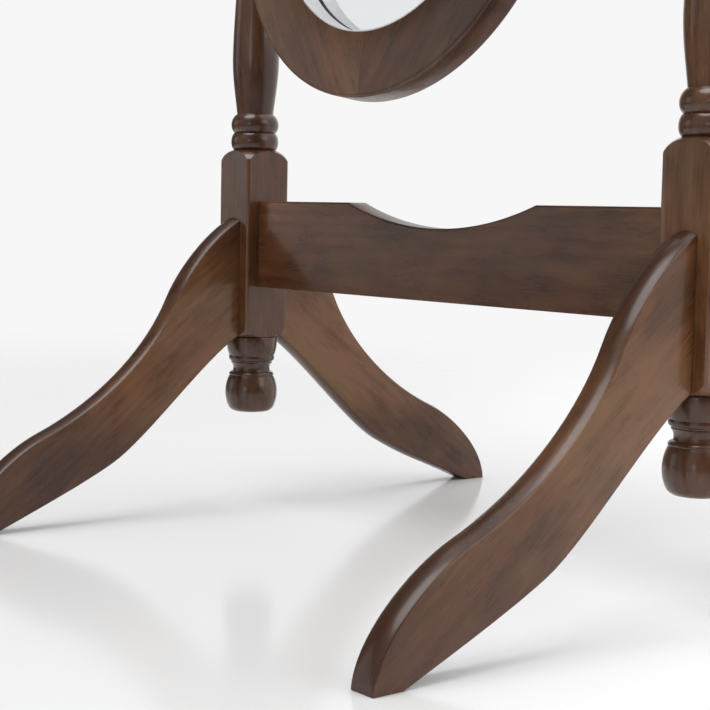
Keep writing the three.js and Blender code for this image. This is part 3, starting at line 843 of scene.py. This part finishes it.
def walnut(name, heart, grain, lightness, lacquer, painted_shade):
    """The stained wood of one piece: heart is a point in the tree's middle, grain the way the fibres run."""
    material, bench, surface = new_finish(name, Specular_IOR_Level=0.36, Coat_Roughness=0.08, Coat_IOR=1.5)
    turn_to_grain = Vector((1, 0, 0)).rotation_difference(Vector(grain)).to_euler()
    place = bench.node("ShaderNodeTexCoord", output="Object")
    wood = bench.node("ShaderNodeMapping", {"vector_type": "TEXTURE"},
                      {"Vector": place, "Location": heart, "Rotation": turn_to_grain})
    sway = bench.noise(wood.stretched((7, 17, 17)), 3.0) - 0.5
    from_heart = bench.node("ShaderNodeVectorMath", {"operation": "LENGTH"},
                            {0: wood.stretched((0, 1, 1))}, "Value")
    year = ((from_heart + sway * RING_SWAY) / RING_WIDTH).fraction()
    late_wood = year.rise(0.30, 0.93) * year.rise(0.93, 1.0, 1.0, 0.0)
    streaks = bench.noise(wood.stretched((16, 210, 210)), 4.0, 0.60) - 0.5
    fibres = bench.noise(wood.stretched((60, 1400, 1400)), 3.0, 0.6) - 0.5
    mottle = bench.noise(wood.stretched((34, 62, 62)), 3.0, 0.55) - 0.5
    clouds = bench.noise(wood.stretched((9, 22, 22)), 2.0, 0.5) - 0.5
    pores = bench.noise(wood.stretched((120, 2300, 2300)), 1.0).rise(0.64, 0.74)
    light = 0.5 + lightness + clouds * 1.05 + mottle * 0.85 + streaks * 0.55 + fibres * 0.60
    light = light - late_wood * 0.11
    # painted shade for the legs and the posts, from where on the piece a point lies
    if painted_shade:
        split = bench.node("ShaderNodeSeparateXYZ", {}, {0: place}).socket.node.outputs
        light = light + painted_shade(bench, Wire(bench, split["X"]), Wire(bench, split["Z"]))
    stops = [(0.0, STAIN_DEEP), (0.5, STAIN_MIDDLE), (1.0, STAIN_LIGHT)]
    colour = bench.node("ShaderNodeValToRGB", {"stops": stops}, {"Fac": light})
    tint = bench.noise(wood.stretched((14, 40, 40)), 2.0).rise(0.34, 0.66)
    colour = bench.mix(1.0, colour, bench.mix(tint, STAIN_OLIVE, STAIN_RED), "MULTIPLY")
    colour = bench.mix(pores * 0.40, colour, PORE_BROWN)
    bench.plug(surface.inputs["Base Color"], colour)
    bench.plug(surface.inputs["Roughness"], 0.29 + mottle * 0.14 + fibres * 0.08 + pores * 0.08)
    bench.plug(surface.inputs["Coat Weight"], lacquer + streaks * 0.2)
    relief = fibres * 0.5 + streaks * 0.4 - pores * 0.8
    bump = bench.node("ShaderNodeBump", {}, {"Height": relief, "Distance": 0.00005, "Strength": 0.45})
    bench.plug(surface.inputs["Normal"], bump)
    return material

# %% [markdown]
# The other finishes are simpler. Each still has something that changes over its surface, because nothing
# real is the same everywhere: brushed lines and dullness on plated steel, flecks in hardboard, a soft
# chalkiness on rubber, and a breath of haze on the silvered glass.

# %% Mix the other finishes
def plain_finish(name, dark, light, squeeze, roughness, spread=0.1, bump=0.0, contrast=1.0, **sockets):
    """A finish whose colour runs between two tones, with a pattern squeezed by the given factors."""
    material, bench, surface = new_finish(name, **sockets)
    place = bench.node("ShaderNodeTexCoord", output="Object")
    pattern = bench.noise(place.stretched(squeeze), 4.0, 0.6)
    broad = bench.noise(place.stretched((30, 30, 30)), 2.0)
    share = (0.5 + (pattern - 0.5) * contrast + (broad - 0.5) * 0.6).rise(0.15, 0.85)
    bench.plug(surface.inputs["Base Color"], bench.mix(share, (*dark, 1), (*light, 1)))
    bench.plug(surface.inputs["Roughness"], roughness + (pattern - 0.5) * spread + (broad - 0.5) * spread)
    if bump:
        raised = bench.node("ShaderNodeBump", {}, {"Height": pattern, "Distance": bump, "Strength": 0.6})
        bench.plug(surface.inputs["Normal"], raised)
    return material


silver = plain_finish(
    "silvered_glass", (0.84, 0.865, 0.87), (0.87, 0.89, 0.893), (9, 9, 9), 0.012, 0.02,
    Metallic=1.0, Coat_Weight=1.0, Coat_Roughness=0.0, Coat_IOR=1.5)
pale_strip = plain_finish(
    "pale_lining", (0.66, 0.66, 0.68), (0.76, 0.76, 0.77), (400, 400, 400), 0.42, 0.1, 0.00003,
    Specular_IOR_Level=0.4)
rubber = plain_finish(
    "black_rubber", (0.010, 0.010, 0.011), (0.026, 0.025, 0.026), (900, 900, 900), 0.68, 0.2, 0.00008,
    Specular_IOR_Level=0.35)
hardboard = plain_finish(
    "hardboard", (0.085, 0.040, 0.018), (0.215, 0.122, 0.062), (620, 620, 620), 0.58, 0.2, 0.00008, 1.7,
    Specular_IOR_Level=0.3)
steel = plain_finish(
    "zinc_steel", (0.42, 0.43, 0.44), (0.66, 0.66, 0.65), (90, 900, 900), 0.30, 0.25, 0.00001,
    Metallic=1.0)
brass = plain_finish(
    "brass_insert", (0.55, 0.36, 0.13), (0.78, 0.56, 0.25), (90, 900, 900), 0.32, 0.2, 0.00001,
    Metallic=1.0)
beech = plain_finish(
    "beech_dowel", (0.42, 0.25, 0.13), (0.58, 0.39, 0.23), (200, 200, 200), 0.6, 0.15, 0.00003,
    Specular_IOR_Level=0.3)

# %% [markdown]
# ## Dressing the pieces
# Every new piece is given its finish and the body that it moves with, and the imported node that it stands
# for is hidden. Wooden pieces also get their own heart and grain: along the rail, up the posts,
# down the length of each leg, and at a slant in the four end segments of the frame. The last number makes a
# piece lighter or darker, since no two boards take the stain alike. The two bottom segments differ most, so
# their seam shows.

# %% Dress the wooden pieces
BOARD_LACQUER, TURNED_LACQUER = 0.22, 0.50


def dress(piece, body, node, material):
    """Gives a piece its finish and its body, and hides the imported node that it stands for."""
    piece.data.materials.clear()
    piece.data.materials.append(material)
    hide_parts(node)
    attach(piece, body)


def dress_in_walnut(piece, body, node, heart, grain, lightness):
    """The same for a wooden piece, with its own wood. Turned pieces take a smoother coat than boards."""
    turned = any(word in node for word in ("post", "finial", "knob", "cover"))
    # the legs and the posts get painted shade in their colour
    painted_shade = leg_painted_shade if "_leg" in node else post_painted_shade if "_post" in node else None
    lacquer = TURNED_LACQUER if turned else BOARD_LACQUER
    finish = walnut(f"walnut_{node}", heart, grain, lightness, lacquer, painted_shade)
    dress(piece, body, node, finish)


def leaned(x, y, z):
    """A direction on the upright mirror, as it stands when the mirror leans back."""
    return Matrix.Rotation(-LEAN, 3, "X") @ Vector((x, y, z))


UP, ALONG_X = (0, 0, 1), (1, 0, 0)
LEG_SLOPE = math.radians(38)
FRONT_LEG = (0, -math.cos(LEG_SLOPE), -math.sin(LEG_SLOPE))
REAR_LEG = (0, math.cos(LEG_SLOPE), -math.sin(LEG_SLOPE))
SLANT = math.radians(57)
UP_FRAME = leaned(0, 0, 1)
UP_LEFT = leaned(-math.cos(SLANT), 0, math.sin(SLANT))
UP_RIGHT = leaned(math.cos(SLANT), 0, math.sin(SLANT))
wooden = [
    (right_post, "stand", "right_post", (0.285, 0.034, 0.31), UP, 0.12),
    (left_post, "stand", "left_post", (-0.27, 0.047, 0.83), UP, -0.10),
    (drop_right, "stand", "right_drop_finial", (0.25, -0.07, 1.7), UP, -0.34),
    (drop_left, "stand", "left_drop_finial", (-0.29, -0.05, 2.2), UP, -0.26),
    (top_right, "stand", "right_top_finial", (0.20, 0.08, 3.1), UP, -0.2),
    (top_left, "stand", "left_top_finial", (-0.25, -0.09, 3.9), UP, -0.2),
    (right_front_leg, "stand", "right_front_leg", (0.30, -0.12, 0.17), FRONT_LEG, 0.16),
    (right_rear_leg, "stand", "right_rear_leg", (0.17, 0.9, 0.7), REAR_LEG, 0.0),
    (left_front_leg, "stand", "left_front_leg", (-0.31, -0.7, 0.62), FRONT_LEG, 0.06),
    (left_rear_leg, "stand", "left_rear_leg", (-0.17, 0.33, 0.31), REAR_LEG, 0.18),
    (rail, "stand", "rail", (0.7, 0.05, 0.14), ALONG_X, -0.14),
    (cover_right, "stand", "right_bolt_cover", (0.2, 0.05, 0.18), UP, 0.0),
    (cover_left, "stand", "left_bolt_cover", (-0.2, -0.05, 0.18), UP, 0.0),
    (frame_right_side, "mirror", "frame_right_side", (0.23, 0.07, 0.2), UP_FRAME, -0.12),
    (frame_left_side, "mirror", "frame_left_side", (-0.15, 0.06, 1.4), UP_FRAME, -0.12),
    (frame_top_right, "mirror", "frame_top_right", (0.4, 0.09, 1.9), UP_LEFT, -0.10),
    (frame_top_left, "mirror", "frame_top_left", (-0.5, 0.08, 1.7), UP_RIGHT, -0.14),
    (frame_bottom_left, "mirror", "frame_bottom_left", (-0.30, 0.06, 0.9), UP_LEFT, 0.06),
    (frame_bottom_right, "mirror", "frame_bottom_right", (0.10, 0.05, 0.2), UP_RIGHT, -0.34),
    (knobs[1], "right_knob", "right_knob", (0.3, 0.06, 0.87), ALONG_X, 0.0),
    (knobs[0], "left_knob", "left_knob", (-0.4, 0.05, 0.96), ALONG_X, 0.0),
]
for piece, body, node, heart, grain, lightness in wooden:
    dress_in_walnut(piece, body, node, heart, grain, lightness)
print(len(wooden), "wooden pieces dressed")

# %% Dress the rest
dress(liner, "mirror", "sight_edge_liner", pale_strip)
dress(gasket, "mirror", "glass_gasket", rubber)
dress(panel, "mirror", "backing_panel", hardboard)
for node, screw in screws.items():
    dress(screw, "mirror", node, steel)
for side, spacer, washer in zip(("left", "right"), spacers, washers):
    dress(spacer, "mirror", f"{side}_pivot_spacer", rubber)
    dress(washer, f"{side}_knob", f"{side}_knob_washer", steel)

# %% [markdown]
# Pieces that are hidden or already the right shape stay as they were packed: the glass itself, the dowels,
# the bolts with their nuts, the studs and the brass inserts. They only change their material.

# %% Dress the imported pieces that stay
kept = {"mirror_glass": silver}
for side in ("left", "right"):
    kept[f"{side}_rail_bolt"] = kept[f"{side}_barrel_nut"] = kept[f"{side}_pivot_stud"] = steel
    kept[f"{side}_pivot_insert"] = brass
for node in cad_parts:
    if "_dowel_" in node:
        kept[node] = beech
for node, material in kept.items():
    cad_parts[node].material_slots[0].material = material
print(len(kept), "packed pieces kept")

# %% [markdown]
# ## The studio
# The mirror stands on a pale floor with a little gloss, which fades into the white backdrop, so that no
# horizon shows. The camera is low, in front and to the right, with a long lens. Lacquered wood looks as its
# surroundings do: the room is dark, and a few bright patches in it draw the highlights. Only the floor is an
# object, so the mirror can be seen from all round.

# %% Camera
LENS, FILM_WIDTH = 81.34, 36
STANDPOINT = (0.84381, -0.75757, 0.24285)
TURNED_LEFT, TILTED_DOWN, ROLLED = 51.156, 5.143, 1.185
camera_data = bpy.data.cameras.new("camera")
camera_data.lens = LENS
camera_data.sensor_width = FILM_WIDTH
camera_data.clip_end = 200
camera = bpy.data.objects.new("camera", camera_data)
bpy.context.scene.collection.objects.link(camera)
place = Matrix.Translation(STANDPOINT)
heading = Matrix.Rotation(math.radians(TURNED_LEFT), 4, "Z")
pitch = Matrix.Rotation(math.radians(90 - TILTED_DOWN), 4, "X")
roll = Matrix.Rotation(math.radians(ROLLED), 4, "Z")
camera.matrix_world = place @ heading @ pitch @ roll
bpy.context.scene.camera = camera

# %% Floor
FLOOR_RADIUS = 2.2
FADE_FROM, FADE_TO = 0.7, 2.15
nothing_selected()
JUST_UNDER_FEET = (0, 0, -0.0001)
bpy.ops.mesh.primitive_circle_add(
    vertices=128, radius=FLOOR_RADIUS, fill_type="NGON", location=JUST_UNDER_FEET)
floor = bpy.context.object
floor.name = "studio_floor"
floor_material, bench, surface = new_finish("pale_floor", Specular_IOR_Level=0.32)
spot = bench.node("ShaderNodeTexCoord", output="Object")
cloudy = bench.noise(spot.stretched((1.5, 1.5, 1.5)), 2.0)
pale = bench.mix(cloudy, (0.86, 0.863, 0.866, 1), (0.89, 0.893, 0.896, 1))
bench.plug(surface.inputs["Base Color"], pale)
bench.plug(surface.inputs["Roughness"], 0.10 + cloudy * 0.06)
distance = bench.node("ShaderNodeVectorMath", {"operation": "LENGTH"}, {0: spot}, "Value")
paint = Wire(bench, surface.outputs["BSDF"])
nothing_there = bench.node("ShaderNodeBsdfTransparent")
fade = distance.rise(FADE_FROM, FADE_TO)
faded = bench.node("ShaderNodeMixShader", {}, {0: fade, 1: paint, 2: nothing_there})
bench.plug(floor_material.node_tree.nodes["Material Output"].inputs["Surface"], faded)
floor.data.materials.append(floor_material)
floor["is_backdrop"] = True

# %% Light all round
# Each patch has the direction it shines from, the angle it is full within, the angle it is gone beyond, and
# its brightness.
ROOM = 0.12
patches = [
    ((0, -0.38, 0.91), 13, 22, 4.5),  # a softbox overhead, a little in front
    ((0.1, 0.1, 1), 10, 58, 0.62),  # a pale ceiling
    ((0.35, 0.90, 0.25), 45, 75, 0.75),  # a white wall on the right and behind
    ((0.45, -0.89, 0.1), 4, 9, 1.5),  # a narrow lamp in front
    ((-0.768, -0.621, 0.156), 8, 15, 0.78),  # a white card on the left, which the glass reflects
    ((0.0, -0.93, 0.36), 12, 45, 0.40),  # a weak glow from the front
    ((-0.77, 0.62, 0.14), 14, 26, 0.55),  # the lit backdrop
]


def lobe(bench, direction, towards, narrow, wide, brightness):
    """A soft patch of light: full within the narrow angle and gone beyond the wide one, in degrees."""
    facing = bench.node("ShaderNodeVectorMath", {"operation": "DOT_PRODUCT"},
                        {0: direction, 1: Vector(towards).normalized()}, "Value")
    edges = math.cos(math.radians(wide)), math.cos(math.radians(narrow))
    return facing.rise(*edges, 0.0, brightness)


world = bpy.data.worlds.new("studio_light")
world.use_nodes = True
bpy.context.scene.world = world
bench = Bench(world.node_tree)
direction = bench.node("ShaderNodeTexCoord", output="Generated")
light = ROOM
for towards, narrow, wide, brightness in patches:
    light = light + lobe(bench, direction, towards, narrow, wide, brightness)
camera_ray = bench.node("ShaderNodeLightPath", output="Is Camera Ray")
BACKDROP = 0.93
shown = light * (1 - camera_ray) + camera_ray * BACKDROP
background = world.node_tree.nodes["Background"]
background.inputs["Color"].default_value = (1, 1, 1, 1)
bench.plug(background.inputs["Strength"], shown)

# %% Two softboxes
def softbox(name, place, target, size, watts):
    """A square area lamp that looks at a point and isn't seen itself."""
    data = bpy.data.lights.new(name, "AREA")
    data.shape = "SQUARE"
    data.size = size
    data.energy = watts
    lamp = bpy.data.objects.new(name, data)
    bpy.context.scene.collection.objects.link(lamp)
    lamp.location = place
    lamp.rotation_mode = "QUATERNION"
    lamp.rotation_quaternion = (Vector(target) - Vector(place)).to_track_quat("-Z", "Y")
    lamp.visible_camera = False
    return lamp


softbox("softbox_right", (2.3, 0.7, 1.5), (0, 0, 0.3), 1.4, 8)
softbox("softbox_above", (-0.4, 0.3, 3.2), (0, 0, 0.3), 2.2, 9)
bpy.context.scene.view_settings.view_transform = "Standard"

# %% [markdown]
# ## Last measurements
# The finished model has to fill the same box as the imported one, so the sizes of both boxes are printed side
# by side.

# %% Measure and finish
visual_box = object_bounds()
for axis in range(3):
    sizes = [round((box[1][axis] - box[0][axis]) / MM, 2) for box in (cad_box, visual_box)]
    print("XYZ"[axis], "packed and finished size in mm:", sizes)
